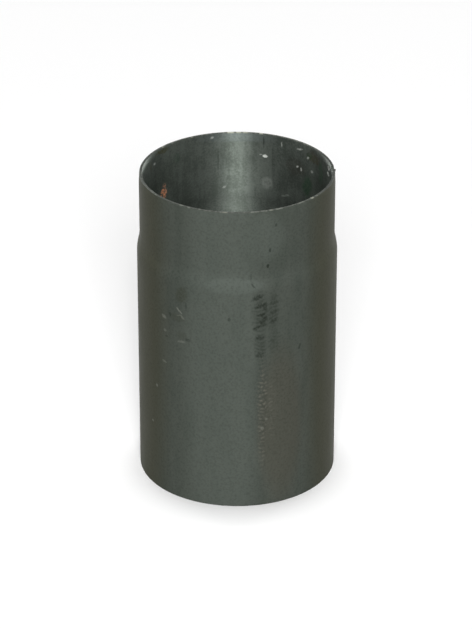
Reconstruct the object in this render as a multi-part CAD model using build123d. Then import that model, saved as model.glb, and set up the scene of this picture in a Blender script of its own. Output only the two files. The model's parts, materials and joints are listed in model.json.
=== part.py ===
from build123d import *
import math
import os

# Stove pipe: a short length of flue pipe with one end reduced to a spigot.
# It is one piece of sheet steel, rolled round, welded down one long seam and
# swaged at its upper end, so that the next pipe's open end slides over it.
# Millimetres, +Z up along the pipe, origin at the middle of the lower end.

# Wide end and the pipe as a whole
BORE = 150.0  # inside of the wide end, the pipe's nominal size
WALL = 2.0  # thickness of the sheet
LENGTH = 250.0  # end to end
EDGE_BREAK = 0.35  # width that deburring takes off each end's corners

# Swaged end
JOINT_CLEARANCE = 0.2  # radial gap between the spigot and the next pipe's bore
INSERT_LENGTH = 48.0  # from the shoulder to the free end
SHOULDER_LENGTH = 17.5  # along the pipe, from full size down to the spigot
LEAD_IN_LENGTH = 8.0  # the last stretch, drawn in so that the pipes start easily
LEAD_IN_DRAW = 0.4  # how far the lead-in's radius shrinks

# Welded seam, proud on the outside of the body only
SEAM_AZIMUTH = -76.0  # degrees about +Z from +X
BEAD_WIDTH = 7.0
BEAD_HEIGHT = 0.4
BEAD_RUN_OUT = 8.0  # below the shoulder, where the swaging tool has pressed it down

# Radii of the two ends
body_inside = BORE / 2
body_outside = body_inside + WALL
spigot_outside = body_inside - JOINT_CLEARANCE
spigot_inside = spigot_outside - WALL

# Heights of the places where the profile changes
spigot_foot = LENGTH - INSERT_LENGTH
shoulder_foot = spigot_foot - SHOULDER_LENGTH
lead_in_foot = LENGTH - LEAD_IN_LENGTH

# The shoulder is two bends of one size and opposite sense in the sheet's middle line
step_in = body_outside - spigot_outside
bend_angle = 2 * math.atan2(step_in, SHOULDER_LENGTH)
bend_radius = SHOULDER_LENGTH / (2 * math.sin(bend_angle))


def wall_side(body_radius, spigot_radius, from_middle):
    """Draw one side of the sheet, from the lower end up to the free end.

    from_middle is the side's distance outwards from the sheet's middle line, so that
    both sides bend about the same centres and the sheet keeps its thickness.
    """
    body = Line((body_radius, 0), (body_radius, shoulder_foot))
    swell = JernArc(body @ 1, body % 1, bend_radius + from_middle, math.degrees(bend_angle))
    neck = JernArc(swell @ 1, swell % 1, bend_radius - from_middle, -math.degrees(bend_angle))
    spigot = Line(neck @ 1, (spigot_radius, lead_in_foot))
    return body, Line(spigot @ 1, (spigot_radius - LEAD_IN_DRAW, LENGTH))


def pipe_wall():
    """Turn the sheet's section about the pipe's axis."""
    with BuildPart() as wall:
        with BuildSketch(Plane.XZ) as section:
            with BuildLine():
                outer_body, outer_lead_in = wall_side(body_outside, spigot_outside, WALL / 2)
                inner_body, inner_lead_in = wall_side(body_inside, spigot_inside, -WALL / 2)
                Line(outer_body @ 0, inner_body @ 0)
                Line(outer_lead_in @ 1, inner_lead_in @ 1)
            make_face()
            corners = section.vertices().group_by(Axis.Y)
            chamfer(corners[0] + corners[-1], EDGE_BREAK)
        revolve(axis=Axis.Z)
    return wall.part


def bead_crown():
    """Return the radius and the centre's distance from the axis of the bead's round crown."""
    half_width = BEAD_WIDTH / 2
    dip = body_outside - math.sqrt(body_outside**2 - half_width**2)
    inset = (dip**2 + half_width**2 - BEAD_HEIGHT**2) / (2 * (BEAD_HEIGHT + dip))
    return inset + BEAD_HEIGHT, body_outside - inset


def seam_bead():
    """Lay the weld bead along the body, dying away into the wall below the shoulder."""
    crown_radius, crown_centre = bead_crown()
    bead_top = body_outside + BEAD_HEIGHT
    buried = body_outside - BEAD_HEIGHT
    with BuildPart() as bead:
        with BuildSketch(Plane.XZ):
            with BuildLine():
                Polyline(
                    (buried, EDGE_BREAK),
                    (body_outside, EDGE_BREAK),
                    (bead_top, EDGE_BREAK + BEAD_HEIGHT),
                    (bead_top, shoulder_foot - BEAD_RUN_OUT),
                    (buried, shoulder_foot),
                    close=True,
                )
            make_face()
        revolve(axis=Axis.Z)
        with BuildSketch():
            with Locations((crown_centre, 0)):
                Circle(crown_radius)
        extrude(amount=LENGTH, mode=Mode.INTERSECT)
    return bead.part.rotate(Axis.Z, SEAM_AZIMUTH)


def stove_pipe():
    """Join the wall and its weld bead into the one piece that the pipe is."""
    return pipe_wall() + seam_bead()


os.makedirs("parts", exist_ok=True)
export_step(stove_pipe(), "parts/stove_pipe.step")
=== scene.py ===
"""The look of a short steel stove pipe with one swaged end, standing on a pale floor.

The pipe's wall is modelled again around the CAD frame at a finer step, with its weld
ripples and rim damage, and its paint, bare inside and cut rims get procedural finishes.
"""

import json
import logging
import math
from dataclasses import dataclass, field
from enum import Enum
from typing import Iterable, Optional, Union

import bpy
import numpy as np
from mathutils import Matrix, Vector


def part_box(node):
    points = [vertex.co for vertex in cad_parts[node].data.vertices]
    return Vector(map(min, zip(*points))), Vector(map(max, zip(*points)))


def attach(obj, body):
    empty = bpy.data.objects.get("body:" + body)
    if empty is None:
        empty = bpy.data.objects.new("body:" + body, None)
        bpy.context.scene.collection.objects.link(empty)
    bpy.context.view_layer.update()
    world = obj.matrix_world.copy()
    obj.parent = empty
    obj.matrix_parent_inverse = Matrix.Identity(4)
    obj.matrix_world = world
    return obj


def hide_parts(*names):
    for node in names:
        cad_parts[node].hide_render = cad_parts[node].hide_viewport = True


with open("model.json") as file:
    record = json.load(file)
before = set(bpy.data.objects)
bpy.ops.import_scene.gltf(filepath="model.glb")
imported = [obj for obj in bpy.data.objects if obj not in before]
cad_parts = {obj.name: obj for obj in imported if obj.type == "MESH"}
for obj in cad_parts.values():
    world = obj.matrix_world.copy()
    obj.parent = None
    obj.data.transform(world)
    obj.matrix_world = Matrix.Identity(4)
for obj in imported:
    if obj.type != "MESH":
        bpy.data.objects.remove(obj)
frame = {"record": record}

MM = 0.001
PIPE_NODE = "stove_pipe"
BODY = "root"
SEAM_DIRT_AND_SHADE = "seam_dirt"
SEAM_WEAR_AND_HIGHLIGHT = "seam_wear"
MARK_CORE = 0.5

Value = Union[float, bpy.types.NodeSocket]
Colour = tuple[float, float, float]
Tint = Union[Colour, bpy.types.NodeSocket]

log = logging.getLogger("stove_pipe")


class Facing(Enum):
    """The side of the pipe that turns on a surface are counted from."""

    FRONT = -1
    BACK = 1


@dataclass(frozen=True)
class PipeSizes:
    """The pipe's own sizes in metres, read from the CAD frame."""

    length: float
    body_outside: float
    body_inside: float
    spigot_outside: float
    spigot_inside: float
    shoulder_foot: float
    spigot_foot: float
    lead_in_foot: float
    edge_break: float = 0.35 * MM
    lead_in_draw: float = 0.4 * MM

    @classmethod
    def from_frame(cls) -> "PipeSizes":
        """Read the sizes from the CAD node's box and the record's mounts.

        Returns:
            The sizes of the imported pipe.
        """
        low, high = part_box(PIPE_NODE)
        mounts = {mount["name"]: mount for mount in frame["record"]["mounts"]}
        socket, spigot = mounts["socket"], mounts["spigot"]
        wall = round(high.x, 6) - socket["dims"]["r_mm"] * MM
        half_spigot = spigot["dims"]["length_mm"] * MM / 2
        return cls(
            length=round(high.z, 6),
            body_outside=round(high.x, 6),
            body_inside=socket["dims"]["r_mm"] * MM,
            spigot_outside=spigot["dims"]["r_mm"] * MM,
            spigot_inside=spigot["dims"]["r_mm"] * MM - wall,
            shoulder_foot=socket["dims"]["length_mm"] * MM + cls.edge_break,
            spigot_foot=spigot["pos_m"][2] - half_spigot,
            lead_in_foot=spigot["pos_m"][2] + half_spigot,
        )

    def step_in(self, height: float) -> float:
        """Return how far the wall has stepped in from the body at a height.

        Args:
            height: Height above the lower end, in metres.
        Returns:
            The drop in radius, which is the same on both sides of the wall.
        """
        full_step = self.body_outside - self.spigot_outside
        run = self.spigot_foot - self.shoulder_foot
        bend = 2 * math.atan2(full_step, run)
        radius = run / (2 * math.sin(bend))
        if height <= self.shoulder_foot:
            return 0.0
        if height >= self.lead_in_foot:
            share = (height - self.lead_in_foot) / (self.length - self.lead_in_foot)
            return full_step + self.lead_in_draw * share
        if height >= self.spigot_foot:
            return full_step
        from_foot, from_top = height - self.shoulder_foot, self.spigot_foot - height
        if from_foot < run / 2:
            return radius - math.sqrt(radius**2 - from_foot**2)
        return full_step - radius + math.sqrt(radius**2 - from_top**2)


@dataclass(frozen=True)
class Mark:
    """A soft-edged stroke, dot or patch on the unrolled sheet.

    Turns are in degrees and the other sizes in millimetres. A tilt of 0 lies level, and a
    positive one rises to the right.
    """

    turn: float
    height: float
    length: float
    width: float
    tilt: float = 0.0
    strength: float = 1.0

    def cover(self, turn: np.ndarray, height: np.ndarray, radius: float) -> np.ndarray:
        """Return how far the mark covers points, from 0 to its strength.

        Args:
            turn: Degrees round of each point.
            height: Height of each point, in metres.
            radius: The surface's radius, in metres.
        Returns:
            The cover of each point.
        """
        right = np.radians(turn - self.turn) * radius / MM
        up = height / MM - self.height
        c, s = math.cos(math.radians(self.tilt)), math.sin(math.radians(self.tilt))
        along, across = right * c + up * s, up * c - right * s
        far = np.hypot(along / (self.length / 2), across / (self.width / 2))
        return self.strength * np.clip((1 - far) / (1 - MARK_CORE), 0, 1)


@dataclass(frozen=True)
class Arc:
    """A stretch of the pipe's round, in degrees from the front, and its step."""

    begin: float
    end: float
    step: float

    @property
    def steps(self) -> int:
        """Number of equal steps along the stretch."""
        return max(1, round((self.end - self.begin) / self.step))

    @property
    def spin_angle(self) -> float:
        """The stretch as the spin tool takes it, which turns clockwise, in radians."""
        return math.radians(self.begin - self.end)


def spaced(begin: float, end: float, step: float) -> list[float]:
    """Return evenly spaced values from begin up to but not including end."""
    count = max(1, round(abs(end - begin) / step))
    return [begin + (end - begin) * i / count for i in range(count)]


@dataclass
class WeldSeam:
    """The long weld: a low bead on the body, with the ripples and the grime that the torch left.

    The ripples rise to the right where the weld ended, near the shoulder, and lie level
    further down. Grime and scale lie in their valleys there, and beside the bead; the valleys
    are also darkened as painted shade, and the crests lightened as painted highlight.
    """

    turn: float = 14.0
    width: float = 7 * MM
    height: float = 0.4 * MM
    ripple_pitch: float = 3.4 * MM
    ripple_depth: float = 0.2 * MM
    ripple_bow: float = 0.9 * MM
    ripple_rise: float = 1.6 * MM
    rise_foot: float = 140 * MM
    run_out: float = 9 * MM
    # Dark stretches along the bead: grime and painted shade, deepest in the ripples' valleys.
    dirty_and_shaded_stretches: tuple[Mark, ...] = (
        Mark(13.2, 167.0, 14.0, 46.0, 0, 0.75),
        Mark(13.2, 139.0, 11.0, 32.0, 0, 0.75),
        Mark(20.6, 167.0, 12.0, 40.0, 0, 0.65),
        Mark(20.6, 142.0, 11.0, 26.0, 0, 0.45),
        Mark(14.0, 95.0, 12.0, 120.0, 0, 0.35),
        Mark(24.5, 120.0, 12.0, 60.0, 0, 0.2),
    )
    # Stretches where the ripples' crests are lighter: paint worn off, and painted highlight.
    worn_and_highlit_stretches: tuple[Mark, ...] = (
        Mark(14.2, 82.0, 9.0, 116.0, 0, 0.7),
        Mark(14.6, 98.0, 10.0, 44.0, 0, 0.85),
        Mark(20.0, 84.0, 9.0, 70.0, 0, 0.35),
    )
    # Dark strokes in the ripples' valleys: soot and painted shade.
    strokes: tuple[Mark, ...] = (
        Mark(11.6, 180.4, 13.0, 4.6, 24),
        Mark(13.2, 173.4, 13.0, 5.0, 16),
        Mark(16.0, 171.0, 4.6, 11.0, 0, 0.85),
        Mark(14.0, 165.8, 9.0, 4.4, 14),
        Mark(15.4, 161.6, 6.0, 9.0, -20),
        Mark(14.2, 158.6, 9.5, 5.0, -46),
        Mark(11.5, 155.2, 9.0, 4.4, 28),
        Mark(12.7, 146.4, 11.0, 4.6, 12, 0.9),
        Mark(13.6, 139.4, 7.0, 8.0, 0, 0.6),
        Mark(13.0, 131.6, 8.0, 6.0, 12, 0.8),
        Mark(20.6, 179.0, 8.0, 3.6, 14, 0.5),
        Mark(20.8, 174.4, 12.0, 4.0, 12, 0.7),
        Mark(21.0, 166.4, 10.0, 4.4, 10, 0.75),
        Mark(21.2, 159.4, 9.6, 4.8, 32, 0.85),
        Mark(20.6, 142.6, 6.4, 3.2, 0, 0.6),
    )

    def valley(self, turn: np.ndarray, height: np.ndarray, sizes: PipeSizes) -> np.ndarray:
        """Return how deep each point lies between two ripples, from 0 to 1."""
        across = np.radians(turn - self.turn) * sizes.body_outside / (self.width / 2)
        leaning = np.clip((height - self.rise_foot) / (sizes.shoulder_foot - self.rise_foot), 0, 1)
        wander = 0.9 * MM * np.sin(height / (11 * MM)) + 0.6 * MM * np.sin(height / (4.3 * MM) + 1.3 * across)
        bow = self.ripple_bow * (1 - leaning) * np.minimum(across**2, 4)
        phase = np.pi * (height + wander - bow - self.ripple_rise * leaning * across) / self.ripple_pitch
        return 1 - np.abs(np.sin(phase))

    def lift(self, turn: np.ndarray, height: np.ndarray, sizes: PipeSizes) -> np.ndarray:
        """Return how far the bead stands off the wall.

        Args:
            turn: Degrees round from the front of each point.
            height: Height of each point, in metres.
            sizes: The pipe's sizes.
        Returns:
            The lift of each point, in metres.
        """
        across = np.radians(turn - self.turn) * sizes.body_outside / (self.width / 2)
        crown = np.clip(1 - across**2, 0, 1)
        fade_top = np.clip((sizes.shoulder_foot - height) / self.run_out, 0, 1)
        fade_foot = np.clip((height - sizes.edge_break) / (1.5 * MM), 0, 1)
        rippled = self.height - self.ripple_depth * self.valley(turn, height, sizes)
        return rippled * crown * fade_top * fade_foot

    def dirt_and_valley_shade(self, turn: np.ndarray, height: np.ndarray, sizes: PipeSizes) -> np.ndarray:
        """Return how much grime and painted valley shade darken each point, from 0 to 1."""
        radius = sizes.body_outside
        valley = self.valley(turn, height, sizes)
        shaken = turn + 0.4 * np.sin(height / (0.9 * MM)) + 0.3 * np.sin(height / (0.5 * MM) + 2 * turn)
        ragged = height + (0.3 * np.sin(1.9 * turn) + 0.3 * np.sin(4.1 * turn + height / (2 * MM))) * MM
        stretch = np.max([mark.cover(turn, height, radius) for mark in self.dirty_and_shaded_stretches], axis=0)
        stroke = np.max([mark.cover(shaken, ragged, radius) for mark in self.strokes], axis=0)
        # Grime, made darker in the ripples' valleys as painted shade.
        return np.maximum(stretch * (0.25 + 0.5 * valley), 0.85 * stroke * (0.8 + 0.2 * valley))

    def wear_and_crest_highlight(self, turn: np.ndarray, height: np.ndarray, sizes: PipeSizes) -> np.ndarray:
        """Return how much the ripples' crests are lightened, from 0 to 1: paint worn off them, and painted
        highlight.
        """
        stretch = np.max([mark.cover(turn, height, sizes.body_outside) for mark in self.worn_and_highlit_stretches], axis=0)
        return stretch * (1 - self.valley(turn, height, sizes)) ** 2


@dataclass
class RimNick:
    """A knock on the free end's rim: the edge is pushed down, with a burr beside it."""

    turn: float = 95.5
    width: float = 5 * MM
    depth: float = 2.0 * MM
    burr: float = 0.8 * MM

    def press(self, turn: np.ndarray, height: np.ndarray, sizes: PipeSizes) -> tuple[np.ndarray, np.ndarray]:
        """Return the move outwards and the move down of points near the nick.

        Args:
            turn: Degrees round from the front of each point.
            height: Height of each point, in metres.
            sizes: The pipe's sizes.
        Returns:
            The outward move and the downward move, in metres.
        """
        across = np.radians(turn - self.turn) * sizes.spigot_outside / (self.width / 2)
        near_rim = np.clip(1 - (sizes.length - height) / (4 * MM), 0, 1) ** 2
        dip = np.exp(-((across / 0.6) ** 4)) * near_rim
        lip = np.exp(-(((across + 1.4) / 0.5) ** 2)) * near_rim
        crumple = np.exp(-((across / 3.5) ** 2)) * np.sin(5.3 * across) * np.sin(2.1 * across + 0.6) * near_rim
        return self.burr * (lip - 0.4 * dip + 0.5 * crumple), self.depth * (dip + 0.2 * np.abs(crumple))


@dataclass
class PipeWall:
    """The whole pipe as one closed mesh: a wall section, spun round in finer and coarser arcs."""

    sizes: PipeSizes
    seam: WeldSeam
    nick: RimNick
    body_row: float = 0.9 * MM
    spigot_row: float = 2.5 * MM
    shoulder_row: float = 1.2 * MM
    inside_row: float = 6 * MM
    corner_steps: int = 4
    coarse_step: float = 2.0
    seam_step: float = 0.36
    seam_reach: float = 10.8
    nick_step: float = 0.5
    nick_reach: float = 9.0
    piece: Optional[bpy.types.Object] = field(default=None, init=False)

    def corner(self, radius: float, height: float, begin: float, end: float) -> list[tuple[float, float]]:
        """Return the rounded corner of an end face as radius and height pairs."""
        round_off = self.sizes.edge_break
        angles = [math.radians(begin + (end - begin) * i / self.corner_steps) for i in range(self.corner_steps + 1)]
        return [(radius + round_off * math.cos(a), height + round_off * math.sin(a)) for a in angles]

    def side(self, surface: float, heights: Iterable[float]) -> list[tuple[float, float]]:
        """Return one side of the wall as radius and height pairs."""
        return [(surface - self.sizes.step_in(height), height) for height in heights]

    def section(self) -> list[tuple[float, float]]:
        """Return the wall's closed section, up the outside and down the inside."""
        s = self.sizes
        edge = s.edge_break
        top_outside = s.spigot_outside - s.lead_in_draw
        top_inside = s.spigot_inside - s.lead_in_draw
        outside_rows = (
            spaced(edge, s.shoulder_foot, self.body_row)[1:]
            + spaced(s.shoulder_foot, s.spigot_foot, self.shoulder_row)
            + spaced(s.spigot_foot, s.lead_in_foot, self.spigot_row)
            + spaced(s.lead_in_foot, s.length - edge, self.shoulder_row)
        )
        inside_rows = (
            spaced(s.length - edge, s.lead_in_foot, self.shoulder_row)[1:]
            + spaced(s.lead_in_foot, s.spigot_foot, self.spigot_row)
            + spaced(s.spigot_foot, s.shoulder_foot, self.shoulder_row)
            + spaced(s.shoulder_foot, edge, self.inside_row)
        )
        return (
            self.corner(s.body_outside - edge, edge, -90, 0)
            + self.side(s.body_outside, outside_rows)
            + self.corner(top_outside - edge, s.length - edge, 0, 90)
            + self.corner(top_inside + edge, s.length - edge, 90, 180)
            + self.side(s.body_inside, inside_rows)
            + self.corner(s.body_inside + edge, edge, 180, 270)
        )

    def arcs(self) -> list[Arc]:
        """Return the stretches of the round, fine at the seam and at the nick."""
        begin = self.seam.turn - self.seam_reach
        seam_end = self.seam.turn + self.seam_reach
        nick_begin, nick_end = self.nick.turn - self.nick_reach, self.nick.turn + self.nick_reach
        return [
            Arc(begin, seam_end, self.seam_step),
            Arc(seam_end, nick_begin, self.coarse_step),
            Arc(nick_begin, nick_end, self.nick_step),
            Arc(nick_end, begin + 360, self.coarse_step),
        ]

    def build(self) -> bpy.types.Object:
        """Model the wall: draw its section vertex by vertex, spin it round and close it.

        Returns:
            The finished mesh object.
        """
        section, arcs = self.section(), self.arcs()
        start = math.radians(arcs[0].begin)
        points = [Vector((r * math.sin(start), -r * math.cos(start), z)) for r, z in section]
        bpy.ops.object.select_all(action="DESELECT")
        bpy.ops.mesh.primitive_plane_add(size=MM)
        piece = bpy.context.object
        piece.name = piece.data.name = "pipe_wall"
        bpy.ops.object.mode_set(mode="EDIT")
        bpy.ops.mesh.merge(type="CENTER")
        bpy.ops.transform.translate(value=points[0])
        for here, there in zip(points, points[1:] + points[:1]):
            bpy.ops.mesh.extrude_region_move(TRANSFORM_OT_translate={"value": there - here})
        bpy.ops.mesh.select_all(action="SELECT")
        bpy.ops.mesh.remove_doubles(threshold=0.01 * MM)
        for arc in arcs:
            bpy.ops.mesh.spin(steps=arc.steps, angle=arc.spin_angle, center=(0, 0, 0), axis=(0, 0, 1))
        bpy.ops.mesh.select_all(action="SELECT")
        bpy.ops.mesh.remove_doubles(threshold=0.01 * MM)
        bpy.ops.mesh.normals_make_consistent(inside=False)
        bpy.ops.object.mode_set(mode="OBJECT")
        bpy.ops.object.shade_smooth()
        self.piece = piece
        return piece

    def shape_relief(self) -> None:
        """Raise the weld bead and press the nick into the finished wall."""
        mesh, s = self.piece.data, self.sizes
        co = np.zeros(len(mesh.vertices) * 3)
        mesh.vertices.foreach_get("co", co)
        co = co.reshape(-1, 3)
        radius = np.hypot(co[:, 0], co[:, 1])
        turn = np.degrees(np.arctan2(co[:, 0], -co[:, 1]))
        height = co[:, 2].copy()
        middle = np.array([s.body_outside + s.body_inside - 2 * s.step_in(z) for z in height]) / 2
        outside = radius > middle
        out, down = self.nick.press(turn, height, s)
        radius += out + np.where(outside, self.seam.lift(turn, height, s), 0)
        angle = np.radians(turn)
        co[:, 0], co[:, 1] = radius * np.sin(angle), -radius * np.cos(angle)
        co[:, 2] = height - down
        mesh.vertices.foreach_set("co", co.ravel())
        # Store the weld's grime with its painted valley shade, and its worn crests with their painted highlight.
        for name, cover in ((SEAM_DIRT_AND_SHADE, self.seam.dirt_and_valley_shade), (SEAM_WEAR_AND_HIGHLIGHT, self.seam.wear_and_crest_highlight)):
            mesh.attributes.new(name, "FLOAT", "POINT").data.foreach_set("value", cover(turn, height, s))
        mesh.update()

    def dress(self, outside: bpy.types.Material, inside: bpy.types.Material, rim: bpy.types.Material) -> None:
        """Give the outside, the inside and the cut rims their finishes.

        Args:
            outside: The paint.
            inside: The bare steel.
            rim: The cut edge.
        """
        mesh, s = self.piece.data, self.sizes
        for finish in (outside, inside, rim):
            mesh.materials.append(finish)
        slots = np.zeros(len(mesh.polygons), dtype=np.int32)
        for i, face in enumerate(mesh.polygons):
            radius, height = face.center.xy.length, face.center.z
            middle = (s.body_outside + s.body_inside) / 2 - s.step_in(height)
            if height > s.length - s.edge_break * 0.9 or height < s.edge_break * 0.5:
                slots[i] = 2
            elif radius < middle:
                slots[i] = 1
        mesh.polygons.foreach_set("material_index", slots)


class Recipe:
    """Builds one material's nodes."""

    def __init__(self, name: str) -> None:
        """Start a material with one principled shader."""
        self.material = bpy.data.materials.new(name)
        self.material.use_nodes = True
        self.tree = self.material.node_tree
        self.shader = self.tree.nodes["Principled BSDF"]

    def node(self, kind: str, **settings: object) -> bpy.types.Node:
        """Add a node of a kind and set its properties."""
        made = self.tree.nodes.new(kind)
        for name, value in settings.items():
            setattr(made, name, value)
        return made

    def feed(self, socket: bpy.types.NodeSocket, value: object) -> None:
        """Link a socket to another one, or set its value."""
        if isinstance(value, bpy.types.NodeSocket):
            self.tree.links.new(value, socket)
        elif socket.type == "RGBA" and len(value) == 3:
            socket.default_value = (*value, 1.0)
        else:
            socket.default_value = value

    def set(self, **values: object) -> None:
        """Feed the shader's sockets, named with underscores for spaces."""
        for name, value in values.items():
            self.feed(self.shader.inputs[name.replace("_", " ")], value)

    def math(self, operation: str, first: Value, second: Value = 0.0) -> bpy.types.NodeSocket:
        """Return the result of a sum on one or two values."""
        made = self.node("ShaderNodeMath", operation=operation)
        self.feed(made.inputs[0], first)
        self.feed(made.inputs[1], second)
        return made.outputs[0]

    def vector(self, operation: str, first: object, second: object) -> bpy.types.NodeSocket:
        """Return the result of a sum on two vectors."""
        made = self.node("ShaderNodeVectorMath", operation=operation)
        self.feed(made.inputs[0], first)
        self.feed(made.inputs[1], second)
        return made.outputs["Vector"]

    def blend(self, share: Value, first: Tint, second: Tint) -> bpy.types.NodeSocket:
        """Return a mix of two colours."""
        made = self.node("ShaderNodeMix", data_type="RGBA")
        for socket, value in zip((made.inputs[0], made.inputs[6], made.inputs[7]), (share, first, second)):
            self.feed(socket, value)
        return made.outputs[2]

    def ease(self, value: Value, low: float, high: float, to_low: float = 0.0, to_high: float = 1.0) -> Value:
        """Return a value eased from one range into another."""
        made = self.node("ShaderNodeMapRange", interpolation_type="SMOOTHSTEP")
        for socket, number in zip(made.inputs, (value, low, high, to_low, to_high)):
            self.feed(socket, number)
        return made.outputs[0]

    def place_mm(self) -> bpy.types.NodeSocket:
        """Return each point's place in millimetres."""
        place = self.node("ShaderNodeTexCoord").outputs["Object"]
        return self.vector("MULTIPLY", place, (1 / MM,) * 3)

    def unrolled_mm(self, radius: float, facing: Facing) -> bpy.types.NodeSocket:
        """Return each point's place on the unrolled sheet, in millimetres.

        Args:
            radius: The surface's radius, in metres.
            facing: The side that turns are counted from; they grow to the camera's right.
        Returns:
            A vector of the way round, the height and zero.
        """
        split = self.node("ShaderNodeSeparateXYZ")
        self.feed(split.inputs[0], self.place_mm())
        ahead = self.math("MULTIPLY", split.outputs[1], facing.value)
        turn = self.math("ARCTAN2", split.outputs[0], ahead)
        joined = self.node("ShaderNodeCombineXYZ")
        self.feed(joined.inputs[0], self.math("MULTIPLY", turn, radius / MM))
        self.feed(joined.inputs[1], split.outputs[2])
        return joined.outputs[0]

    def noise(self, place: object, grain: float, detail: float = 2.0, roughness: float = 0.5) -> bpy.types.Node:
        """Return a noise node whose grains are about so many millimetres wide."""
        made = self.node("ShaderNodeTexNoise")
        for name, value in (("Vector", place), ("Scale", 1 / grain), ("Detail", detail), ("Roughness", roughness)):
            self.feed(made.inputs[name], value)
        return made

    def ragged(self, place: bpy.types.NodeSocket, reach: float, grain: float) -> bpy.types.NodeSocket:
        """Return a place on the sheet shifted a little by noise, so that marks get ragged edges."""
        shift = self.vector("SUBTRACT", self.noise(place, grain).outputs["Color"], (0.5, 0.5, 0.5))
        return self.vector("ADD", place, self.vector("MULTIPLY", shift, (reach * 2, reach * 2, 0)))

    def marks(self, place: bpy.types.NodeSocket, marks: Iterable[Mark], radius: float) -> bpy.types.NodeSocket:
        """Return where marks cover the surface, from 0 to 1.

        Args:
            place: The place on the unrolled sheet, in millimetres.
            marks: The marks.
            radius: The surface's radius, in metres.
        Returns:
            The cover.
        """
        cover: Value = 0.0
        for mark in marks:
            frame_node = self.node("ShaderNodeMapping", vector_type="TEXTURE")
            around = math.radians(mark.turn) * radius / MM
            self.feed(frame_node.inputs["Vector"], place)
            self.feed(frame_node.inputs["Location"], (around, mark.height, 0))
            self.feed(frame_node.inputs["Rotation"], (0, 0, math.radians(mark.tilt)))
            self.feed(frame_node.inputs["Scale"], (mark.length / 2, mark.width / 2, 1))
            far = self.node("ShaderNodeVectorMath", operation="LENGTH")
            self.feed(far.inputs[0], frame_node.outputs[0])
            edge = self.ease(far.outputs["Value"], MARK_CORE, 1.0, mark.strength, 0.0)
            cover = self.math("MAXIMUM", cover, edge)
        return cover

    def bump(self, height: bpy.types.NodeSocket, depth: float) -> None:
        """Feed the shader a bump whose full range is so many metres deep."""
        made = self.node("ShaderNodeBump")
        self.feed(made.inputs["Height"], height)
        self.feed(made.inputs["Distance"], depth)
        self.feed(made.inputs["Strength"], 1.0)
        self.feed(self.shader.inputs["Normal"], made.outputs[0])


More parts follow.
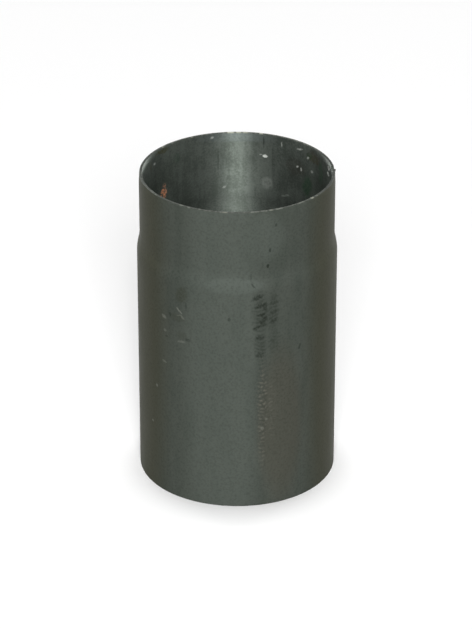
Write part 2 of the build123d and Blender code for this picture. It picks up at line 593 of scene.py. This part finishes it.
@dataclass(frozen=True)
class PaintFinish:
    """Heat-resistant satin paint on the outside, a little uneven, with its marks, a painted highlight down the
    front and painted shade towards both sides.
    """

    sizes: PipeSizes
    colour: Colour = (0.074, 0.086, 0.074)
    lighter: Colour = (0.086, 0.098, 0.085)
    # Colour of the painted highlight: lighter paint stands in for the lamps' highlight on the front.
    scuff_and_painted_highlight: Colour = (0.112, 0.13, 0.115)
    # Colour of the painted side shade: darker, warmer paint stands in for the light falling off towards the sides.
    painted_side_shade: Colour = (0.06, 0.058, 0.034)
    dark: Colour = (0.014, 0.018, 0.013)
    olive: Colour = (0.04, 0.042, 0.024)
    pale: Colour = (0.22, 0.23, 0.2)
    # Colour of the weld's crests: worn paint with painted highlight.
    beige: Colour = (0.165, 0.16, 0.135)
    warm: Colour = (0.088, 0.086, 0.068)
    roughness: tuple[float, float] = (0.46, 0.54)
    specular: float = 0.035
    # Painted highlight: lighter paint down the front, on the shoulder's front and on the spigot's front.
    painted_highlight_stretches: tuple[Mark, ...] = (
        Mark(-9.0, 125.0, 74.0, 700.0, 0, 0.5),
        Mark(-3.0, 190.0, 64.0, 20.0, 0, 0.85),
        Mark(14.0, 228.0, 50.0, 50.0, 0, 0.5),
    )
    warm_stretches: tuple[Mark, ...] = (
        Mark(26.0, 68.0, 48.0, 170.0, 0, 0.6),
    )
    # Painted shade towards both sides of the pipe.
    painted_side_shade_stretches: tuple[Mark, ...] = (
        Mark(-78.0, 125.0, 110.0, 700.0, 0, 0.65),
        Mark(78.0, 125.0, 110.0, 700.0, 0, 0.65),
    )
    dark_specks: tuple[Mark, ...] = (
        Mark(96.0, 247.0, 12.0, 8.0, 0, 0.8),
        Mark(22.7, 237.6, 2.8, 4.0, 0, 0.5),
        Mark(19.1, 217.8, 2.6, 4.6, 10, 0.6),
        Mark(17.9, 204.8, 3.0, 4.6, 0, 0.75),
        Mark(7.9, 197.0, 1.4, 7.0, 0, 0.45),
        Mark(8.9, 190.5, 7.0, 1.8, -48, 0.5),
        Mark(-4.5, 162.4, 3.2, 3.6, 0, 0.5),
        Mark(-41.2, 157.7, 3.4, 4.4, 0, 0.5),
        Mark(-30.0, 168.5, 2.4, 9.0, 0, 0.35),
        Mark(-29.0, 140.3, 6.4, 3.4, 0, 0.45),
        Mark(-44.0, 137.6, 5.0, 2.4, 10, 0.3),
        Mark(38.0, 132.0, 3.0, 7.0, -20, 0.4),
    )
    smudges: tuple[Mark, ...] = (
        Mark(-33.0, 177.0, 13.0, 18.0, -20, 0.35),
        Mark(-36.0, 157.0, 16.0, 9.0, 0, 0.25),
        Mark(-33.0, 143.0, 12.0, 8.0, 0, 0.2),
    )
    scratches: tuple[Mark, ...] = (
        Mark(-34.6, 163.4, 9.0, 2.2, -42, 0.6),
        Mark(-32.6, 158.6, 6.0, 2.4, -40, 0.4),
        Mark(-34.6, 159.4, 6.0, 1.6, 14, 0.3),
        Mark(-46.0, 153.7, 6.4, 3.6, -25, 0.5),
        Mark(-45.3, 142.1, 4.0, 3.0, 0, 0.35),
        Mark(-33.4, 137.4, 9.5, 2.6, 8, 0.35),
        Mark(-46.1, 115.0, 7.0, 2.4, -8, 0.35),
        Mark(-53.2, 90.1, 3.2, 3.2, 0, 0.6),
        Mark(-58.0, 56.3, 2.8, 2.8, 0, 0.5),
        Mark(14.3, 68.2, 3.4, 3.4, 0, 0.5),
        Mark(16.7, 75.6, 3.0, 2.8, 0, 0.4),
    )

    def build(self) -> bpy.types.Material:
        """Build the material."""
        recipe = Recipe("outside_paint")
        place, radius = recipe.place_mm(), self.sizes.body_outside
        unrolled = recipe.unrolled_mm(radius, Facing.FRONT)
        sheet = recipe.ragged(unrolled, 0.7, 2.2)
        cloudy = recipe.noise(recipe.vector("MULTIPLY", place, (1 / 12, 1 / 12, 1 / 50)), 1, 3).outputs["Fac"]
        grain = recipe.noise(place, 1.8, 3, 0.6).outputs["Fac"]
        colour = recipe.blend(recipe.ease(cloudy, 0.35, 0.65), self.colour, self.lighter)
        # Painted highlight down the front, on the shoulder and on the spigot.
        colour = recipe.blend(recipe.marks(unrolled, self.painted_highlight_stretches, radius), colour, self.scuff_and_painted_highlight)
        colour = recipe.blend(recipe.marks(unrolled, self.warm_stretches, radius), colour, self.warm)
        # Painted shade towards both sides.
        colour = recipe.blend(recipe.marks(unrolled, self.painted_side_shade_stretches, radius), colour, self.painted_side_shade)
        colour = recipe.blend(recipe.ease(grain, 0.4, 0.75, 0.0, 0.25), colour, self.dark)
        broken = recipe.ease(recipe.noise(place, 1.6, 2).outputs["Fac"], 0.3, 0.6, 0.6, 1.0)
        spotty = recipe.ease(recipe.noise(place, 2.6, 3, 0.7).outputs["Fac"], 0.44, 0.6)
        # Grime and painted valley shade along the weld, read from the mesh.
        dirt_and_valley_shade = recipe.node("ShaderNodeAttribute", attribute_name=SEAM_DIRT_AND_SHADE).outputs["Fac"]
        # Worn, lighter crests on the weld, partly painted highlight, read from the mesh.
        wear_and_crest_highlight = recipe.node("ShaderNodeAttribute", attribute_name=SEAM_WEAR_AND_HIGHLIGHT).outputs["Fac"]
        dark = recipe.math("MAXIMUM", dirt_and_valley_shade, recipe.marks(sheet, self.dark_specks, radius))
        for cover, tint in (
            (recipe.math("MULTIPLY", recipe.marks(sheet, self.smudges, radius), broken), self.olive),
            (recipe.math("MULTIPLY", wear_and_crest_highlight, spotty), self.beige),
            (recipe.math("MULTIPLY", dark, broken), self.dark),
            (recipe.math("MULTIPLY", recipe.marks(sheet, self.scratches, radius), broken), self.pale),
        ):
            colour = recipe.blend(cover, colour, tint)
        recipe.set(
            Base_Color=colour,
            Roughness=recipe.ease(cloudy, 0.3, 0.7, *self.roughness),
            Specular_IOR_Level=self.specular,
        )
        recipe.bump(grain, 0.03 * MM)
        return recipe.material


@dataclass(frozen=True)
class InsideFinish:
    """Bare steel as it left the rolls, with a dark scale, smoother round the pipe than along it.
    A pale band under the back rim is a painted reflection, and the back wall has a painted
    highlight on its right and painted shade over its top.

    Turns of its marks are counted from the back, which is the part that shows.
    """

    sizes: PipeSizes
    colour: Colour = (0.155, 0.177, 0.156)
    darker: Colour = (0.1, 0.117, 0.1)
    # Colour of the painted reflection: a pale bluish band stands in for the sky seen in the steel under the back
    # rim.
    painted_sky_reflection: Colour = (0.2, 0.235, 0.25)
    pale: Colour = (0.72, 0.75, 0.7)
    dark: Colour = (0.03, 0.037, 0.03)
    brown: Colour = (0.06, 0.037, 0.024)
    green: Colour = (0.045, 0.1, 0.055)
    rust: Colour = (0.5, 0.2, 0.1)
    olive: Colour = (0.085, 0.085, 0.04)
    # Colour of the painted highlight on the right of the back wall.
    lighter: Colour = (0.21, 0.238, 0.208)
    roughness: tuple[float, float] = (0.53, 0.6)
    metallic: float = 0.9
    anisotropic: float = 0.9
    quarter_turn: float = 0.25
    specks: tuple[Mark, ...] = (
        Mark(-15.7, 246.5, 4.0, 2.4, 30, 0.4),
        Mark(17.5, 231.3, 5.0, 3.2, -12, 1.0),
        Mark(14.6, 232.0, 2.6, 1.8, 0, 0.4),
        Mark(40.2, 228.6, 3.4, 2.0, 30, 0.55),
        Mark(43.2, 227.2, 2.6, 4.4, 0, 0.45),
        Mark(49.1, 239.4, 3.6, 2.6, 30, 0.5),
        Mark(52.9, 229.2, 4.0, 3.0, 0, 0.35),
        Mark(74.6, 243.4, 5.6, 4.2, 0, 1.0),
        Mark(73.6, 238.2, 6.0, 4.0, 0, 0.9),
        Mark(42.0, 244.0, 9.0, 1.8, 14, 0.45),
        Mark(28.5, 243.6, 1.6, 5.6, 0, 0.35),
        Mark(-8.1, 203.4, 4.2, 2.4, 20, 0.25),
        Mark(31.5, 200.6, 10.0, 2.4, 19, 0.2),
        Mark(18.8, 208.3, 12.5, 13.5, 0, 0.14),
        Mark(-61.0, 240.0, 4.0, 3.0, 0, 0.4),
    )
    # Painted reflection of the sky in a band under the back rim.
    painted_reflection_band: tuple[Mark, ...] = (
        Mark(0.0, 247.0, 80.0, 12.0, 0, 0.25),
    )
    # Painted highlight on the right of the back wall, widening the lamps' streak.
    painted_highlight_marks: tuple[Mark, ...] = (
        Mark(17.0, 218.0, 20.0, 60.0, 0, 0.45),
    )
    dark_lines: tuple[Mark, ...] = (
        Mark(-3.0, 215.0, 26.0, 130.0, 0, 0.14),
        Mark(-11.8, 227.0, 2.0, 27.0, 0, 0.45),
        Mark(16.6, 243.0, 2.0, 13.0, 0, 0.6),
        Mark(-4.6, 236.0, 1.8, 18.0, 0, 0.2),
        Mark(23.0, 226.0, 4.0, 44.0, 0, 0.2),
    )
    # Dark patches on the steel, most near the nick and towards the sides, and painted shade: a faint dark stretch
    # over the top of the back wall.
    dark_patches_and_painted_shade: tuple[Mark, ...] = (
        Mark(2.0, 234.0, 54.0, 30.0, 0, 0.16),
        Mark(84.0, 246.0, 18.0, 12.0, 0, 0.9),
        Mark(70.0, 245.0, 30.0, 14.0, 0, 0.55),
        Mark(42.0, 226.0, 44.0, 44.0, 0, 0.3),
        Mark(30.0, 214.0, 14.0, 40.0, 0, 0.2),
        Mark(62.0, 232.0, 30.0, 50.0, 0, 0.35),
        Mark(-58.0, 232.0, 30.0, 50.0, 0, 0.3),
        Mark(81.0, 240.0, 16.0, 20.0, 0, 0.5),
    )
    brown_marks: tuple[Mark, ...] = (
        Mark(39.0, 228.0, 24.0, 18.0, 0, 0.22),
        Mark(55.0, 242.0, 26.0, 14.0, 0, 0.35),
    )
    rust_marks: tuple[Mark, ...] = (
        Mark(-52.0, 210.5, 10.0, 13.0, -10, 1.0),
        Mark(-51.0, 217.0, 5.0, 5.0, 0, 0.5),
    )
    green_marks: tuple[Mark, ...] = (
        Mark(48.4, 215.0, 14.0, 24.0, 0, 0.65),
        Mark(62.8, 234.0, 8.0, 26.0, 0, 0.5),
        Mark(50.5, 241.5, 9.0, 8.0, 0, 0.4),
        Mark(-40.0, 236.0, 8.0, 12.0, 0, 0.25),
    )
    olive_marks: tuple[Mark, ...] = (
        Mark(54.5, 240.5, 16.0, 10.0, 0, 0.4),
        Mark(-53.5, 247.5, 22.0, 5.0, 0, 0.8),
        Mark(-66.0, 240.0, 6.0, 8.0, 0, 0.4),
    )

    def build(self) -> bpy.types.Material:
        """Build the material."""
        recipe = Recipe("inside_steel")
        place, radius = recipe.place_mm(), self.sizes.spigot_inside
        unrolled = recipe.unrolled_mm(radius, Facing.BACK)
        sheet = recipe.ragged(unrolled, 0.8, 2.0)
        patchy = recipe.ragged(sheet, 3.5, 9.0)
        cloudy = recipe.noise(place, 14, 4, 0.6).outputs["Fac"]
        streaks = recipe.noise(recipe.vector("MULTIPLY", unrolled, (1 / 4, 1 / 60, 0)), 1, 3).outputs["Fac"]
        grain = recipe.noise(place, 1.5, 3, 0.65).outputs["Fac"]
        uneven = recipe.math("ADD", recipe.math("MULTIPLY", streaks, 0.6), recipe.math("MULTIPLY", grain, 1.2))
        uneven = recipe.math("ADD", uneven, recipe.math("MULTIPLY", cloudy, 1.2))
        colour = recipe.blend(recipe.ease(uneven, 1.2, 1.8), self.colour, self.darker)
        broken = recipe.ease(recipe.noise(place, 1.8, 2).outputs["Fac"], 0.3, 0.6, 0.5, 1.0)
        specks = recipe.math("MULTIPLY", recipe.marks(sheet, self.specks, radius), broken)
        for ground, marks, tint in (
            # Painted reflection under the back rim.
            (unrolled, self.painted_reflection_band, self.painted_sky_reflection),
            # Painted highlight on the back wall.
            (patchy, self.painted_highlight_marks, self.lighter),
            (unrolled, self.dark_lines, self.dark),
            # Dark patches, and painted shade over the top of the back wall.
            (patchy, self.dark_patches_and_painted_shade, self.dark),
            (patchy, self.brown_marks, self.brown),
            (patchy, self.olive_marks, self.olive),
            (patchy, self.green_marks, self.green),
        ):
            cover = recipe.math("MULTIPLY", recipe.marks(ground, marks, radius), broken)
            colour = recipe.blend(cover, colour, tint)
        spotty = recipe.ease(recipe.noise(place, 1.4, 1).outputs["Fac"], 0.43, 0.57)
        rust = recipe.math("MULTIPLY", recipe.marks(sheet, self.rust_marks, radius), spotty)
        colour = recipe.blend(rust, colour, self.rust)
        recipe.set(
            Base_Color=recipe.blend(specks, colour, self.pale),
            Roughness=recipe.ease(uneven, 1.2, 1.8, *self.roughness),
            Metallic=recipe.ease(recipe.math("MAXIMUM", rust, specks), 0, 0.7, self.metallic, 0),
            Anisotropic=self.anisotropic,
            Anisotropic_Rotation=self.quarter_turn,
            Tangent=recipe.node("ShaderNodeTangent", direction_type="RADIAL", axis="Z").outputs[0],
        )
        return recipe.material


@dataclass(frozen=True)
class RimFinish:
    """The cut rims, painted thinly and worn to bare steel in places, with pale glints painted on as highlights."""

    sizes: PipeSizes
    # Colour of the glints: bare steel, painted lighter as a highlight.
    steel: Colour = (0.42, 0.43, 0.35)
    worn: Colour = (0.13, 0.14, 0.12)
    dull: Colour = (0.045, 0.051, 0.042)
    sooty: Colour = (0.02, 0.024, 0.019)
    specular: float = 0.2
    # Glints: bare steel on the rim, painted on as highlights.
    glints: tuple[Mark, ...] = (
        Mark(-4.0, 250, 7.0, 6.0, 0, 1.0),
        Mark(1.0, 250, 5.0, 6.0, 0, 0.9),
        Mark(5.0, 250, 5.0, 6.0, 0, 0.7),
        Mark(14.9, 250, 4.0, 6.0, 0, 0.7),
        Mark(-29.0, 250, 3.0, 6.0, 0, 0.3),
        Mark(-52.0, 250, 3.0, 6.0, 0, 0.4),
        Mark(130.5, 250, 3.4, 6.0, 0, 0.5),
        Mark(-173.0, 250, 5.0, 6.0, 0, 0.25),
        Mark(160.0, 250, 4.0, 6.0, 0, 0.2),
    )
    sooty_stretches: tuple[Mark, ...] = (
        Mark(88.0, 250, 110.0, 20.0, 0, 0.7),
        Mark(76.0, 250, 50.0, 20.0, 0, 0.95),
        Mark(-78.0, 250, 60.0, 20.0, 0, 0.6),
    )

    def build(self) -> bpy.types.Material:
        """Build the material."""
        recipe = Recipe("cut_rim")
        radius = self.sizes.spigot_outside
        sheet = recipe.ragged(recipe.unrolled_mm(radius, Facing.BACK), 0.6, 2.0)
        # Worn and dull patches on the rim, from noise.
        scuff_and_painted_highlight = recipe.noise(recipe.place_mm(), 3, 3).outputs["Fac"]
        colour = recipe.blend(recipe.ease(scuff_and_painted_highlight, 0.45, 0.7), self.dull, self.worn)
        colour = recipe.blend(recipe.marks(sheet, self.sooty_stretches, radius), colour, self.sooty)
        # Painted highlights where the rim shows bare steel.
        colour = recipe.blend(recipe.marks(sheet, self.glints, radius), colour, self.steel)
        recipe.set(Base_Color=colour, Roughness=0.5, Specular_IOR_Level=self.specular)
        return recipe.material


@dataclass(frozen=True)
class Softbox:
    """A lamp that faces the pipe. Turns go round to the right from the front."""

    name: str
    turn: float
    elevation: float
    distance: float
    width: float
    height: float
    power: float

    def hang(self, target: Vector) -> None:
        """Hang the lamp so that it faces a point.

        Args:
            target: The point, in metres.
        """
        light = bpy.data.lights.new(self.name, "AREA")
        light.shape = "RECTANGLE"
        light.size, light.size_y = self.width, self.height
        light.energy = self.power
        lamp = bpy.data.objects.new(self.name, light)
        bpy.context.scene.collection.objects.link(lamp)
        a, e = math.radians(self.turn), math.radians(self.elevation)
        away = Vector((math.sin(a) * math.cos(e), -math.cos(a) * math.cos(e), math.sin(e)))
        lamp.location = target + away * self.distance
        lamp.rotation_euler = away.to_track_quat("Z", "Y").to_euler()


@dataclass
class Studio:
    """The pale floor, white surroundings, soft lamps and the camera."""

    sizes: PipeSizes
    floor_size: float = 8.0
    floor_colour: Colour = (0.9, 0.9, 0.9)
    floor_bounce: Colour = (0.12, 0.11, 0.08)
    floor_glow: float = 0.09
    ambient: float = 0.12
    camera_distance: float = 2.3286
    camera_elevation: float = 27.29
    camera_aim: tuple[float, float, float] = (-0.85 * MM, 0.0, 127.5 * MM)
    lens: float = 171.2
    sensor: float = 36.0
    lamps: tuple[Softbox, ...] = (
        Softbox("front_lamp", 3, 38, 10, 0.5, 0.5, 135),
        Softbox("front_softbox", 1, 30, 10, 3.2, 2.2, 820),
        Softbox("right_fill", 138, 4, 10, 2.4, 0.8, 340),
        Softbox("left_fill", -138, 4, 10, 2.4, 0.8, 340),
        Softbox("top_softbox", 180, 86.5, 10, 1.4, 1.4, 400),
    )

    @property
    def pipe_middle(self) -> Vector:
        """The middle of the pipe."""
        return Vector((0, 0, self.sizes.length / 2))

    def lay_floor(self) -> None:
        """Lay a pale floor that the camera sees as white, with the pipe's shadow on it."""
        bpy.ops.object.select_all(action="DESELECT")
        bpy.ops.mesh.primitive_plane_add(size=self.floor_size)
        floor = bpy.context.object
        floor.name = "floor"
        recipe = Recipe("pale_floor")
        path = recipe.node("ShaderNodeLightPath")
        seen = recipe.math("MAXIMUM", path.outputs["Is Camera Ray"], path.outputs["Is Glossy Ray"])
        seen = recipe.math("MAXIMUM", seen, path.outputs["Is Transmission Ray"])
        recipe.set(Base_Color=recipe.blend(seen, self.floor_bounce, self.floor_colour), Roughness=0.9)
        glow = recipe.node("ShaderNodeEmission")
        recipe.feed(glow.inputs["Strength"], recipe.math("MULTIPLY", seen, self.floor_glow))
        both = recipe.node("ShaderNodeAddShader")
        recipe.feed(both.inputs[0], recipe.shader.outputs[0])
        recipe.feed(both.inputs[1], glow.outputs[0])
        recipe.feed(recipe.tree.nodes["Material Output"].inputs["Surface"], both.outputs[0])
        floor.data.materials.append(recipe.material)

    def fill_world(self) -> None:
        """Light the scene softly from all round, with white where the camera or a reflection sees it."""
        world = bpy.data.worlds.new("white_room")
        world.use_nodes = True
        tree = world.node_tree
        path = tree.nodes.new("ShaderNodeLightPath")
        strength: bpy.types.NodeSocket = path.outputs["Is Camera Ray"]
        for ray in ("Is Glossy Ray", "Is Transmission Ray"):
            either = tree.nodes.new("ShaderNodeMath")
            either.operation = "MAXIMUM"
            tree.links.new(strength, either.inputs[0])
            tree.links.new(path.outputs[ray], either.inputs[1])
            strength = either.outputs[0]
        level = tree.nodes.new("ShaderNodeMapRange")
        tree.links.new(strength, level.inputs[0])
        level.inputs["To Min"].default_value = self.ambient
        background = tree.nodes["Background"]
        background.inputs["Color"].default_value = (1, 1, 1, 1)
        tree.links.new(level.outputs[0], background.inputs["Strength"])
        bpy.context.scene.world = world

    def place_camera(self) -> None:
        """Put the camera where the photograph was taken from."""
        camera = bpy.data.objects.new("camera", bpy.data.cameras.new("camera"))
        bpy.context.scene.collection.objects.link(camera)
        e = math.radians(self.camera_elevation)
        away = Vector((0, -math.cos(e), math.sin(e)))
        camera.location = self.pipe_middle + away * self.camera_distance
        aim = Vector(self.camera_aim) - camera.location
        camera.rotation_euler = aim.to_track_quat("-Z", "Y").to_euler()
        camera.data.lens = self.lens
        camera.data.sensor_width = self.sensor
        bpy.context.scene.camera = camera

    def set_up(self) -> None:
        """Set up the floor, the lights and the camera."""
        bpy.context.scene.view_settings.view_transform = "Standard"
        self.lay_floor()
        self.fill_world()
        for lamp in self.lamps:
            lamp.hang(self.pipe_middle)
        self.place_camera()


def main() -> None:
    """Build the pipe and its studio."""
    logging.basicConfig(level=logging.INFO, format="%(name)s: %(message)s")
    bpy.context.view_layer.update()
    sizes = PipeSizes.from_frame()
    wall = PipeWall(sizes, WeldSeam(), RimNick())
    piece = wall.build()
    wall.shape_relief()
    wall.dress(PaintFinish(sizes).build(), InsideFinish(sizes).build(), RimFinish(sizes).build())
    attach(piece, BODY)
    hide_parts(PIPE_NODE)
    log.info("%s: %d faces", piece.name, len(piece.data.polygons))
    Studio(sizes).set_up()


if __name__ == "__main__":
    main()
